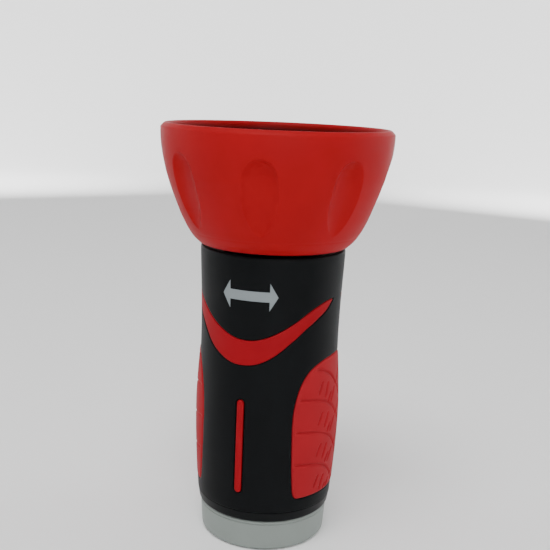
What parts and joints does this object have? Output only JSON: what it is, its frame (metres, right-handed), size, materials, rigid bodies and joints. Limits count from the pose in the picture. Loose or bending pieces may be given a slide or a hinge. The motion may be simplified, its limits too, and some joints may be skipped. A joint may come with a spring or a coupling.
{
  "type": "fire hose nozzle",
  "caption": "Hand-held twist nozzle: a flared rubber head screws along the grip's neck to open an annular jet; a swivel coupling takes the hose.",
  "frame": {"origin": "centre of the hose inlet's mouth, at the bottom of the object", "axes": "+Z along the flow axis, from the inlet to the outlet; -Y the front of the grip"},
  "size_m": [0.076, 0.076, 0.1391],
  "materials": {
    "grey_plastic": "satin moulded",
    "black_seal": "matte",
    "steel": "brushed",
    "barrel_metal": "turned",
    "brass_plug": "turned",
    "dark_plastic": "moulded",
    "black_plastic": "satin moulded",
    "black_rubber": "satin moulded",
    "red_grip": "textured",
    "red_inlay": "satin moulded",
    "print_grey": "printed",
    "red_rubber": "satin moulded"
  },
  "bodies": {
    "barrel": {"inner_barrel": "barrel_metal", "swivel_ring": "steel", "swivel_oring": "black_seal", "neck_oring": "black_seal", "flow_spider": "barrel_metal", "jet_plug": "brass_plug", "plug_oring": "black_seal", "plug_screw": "steel", "thread_sleeve": "dark_plastic", "travel_stop_ring": "steel", "grip_shell": "dark_plastic", "end_cap": "black_plastic", "top_collar": "dark_plastic", "grip_overmould": "black_rubber", "side_grip_left": "red_grip", "side_grip_right": "red_grip", "front_crescent": "red_inlay", "rear_crescent": "red_inlay", "front_stripe": "red_inlay", "rear_stripe": "red_inlay", "twist_mark": "print_grey"},
    "wiper": {"dust_wiper": "black_seal"},
    "head": {"head_sleeve": "dark_plastic", "follower_pins": "steel", "throat_gasket": "black_seal", "spray_ring": "black_plastic", "bell_bumper": "red_rubber"},
    "coupling": {"swivel_nut": "grey_plastic", "hose_washer": "black_seal", "inlet_strainer": "steel"}
  },
  "joints": [
    {"name": "head_lift", "type": "slide", "parent": "barrel", "child": "wiper", "axis": [0, 0, 1], "range_m": [0, 0.00701]},
    {"name": "head_twist", "type": "hinge", "parent": "wiper", "child": "head", "pos_m": [0, 0, 0.11], "axis": [0, 0, 1], "range_deg": [0, 210]},
    {"name": "coupling_spin", "type": "hinge", "parent": "barrel", "child": "coupling", "pos_m": [0, 0, 0], "axis": [0, 0, 1], "continuous": true}
  ],
  "couplings": [
    {"joint": "head_lift", "follows": "head_twist", "m_per_rad": 0.0019099}
  ]
}
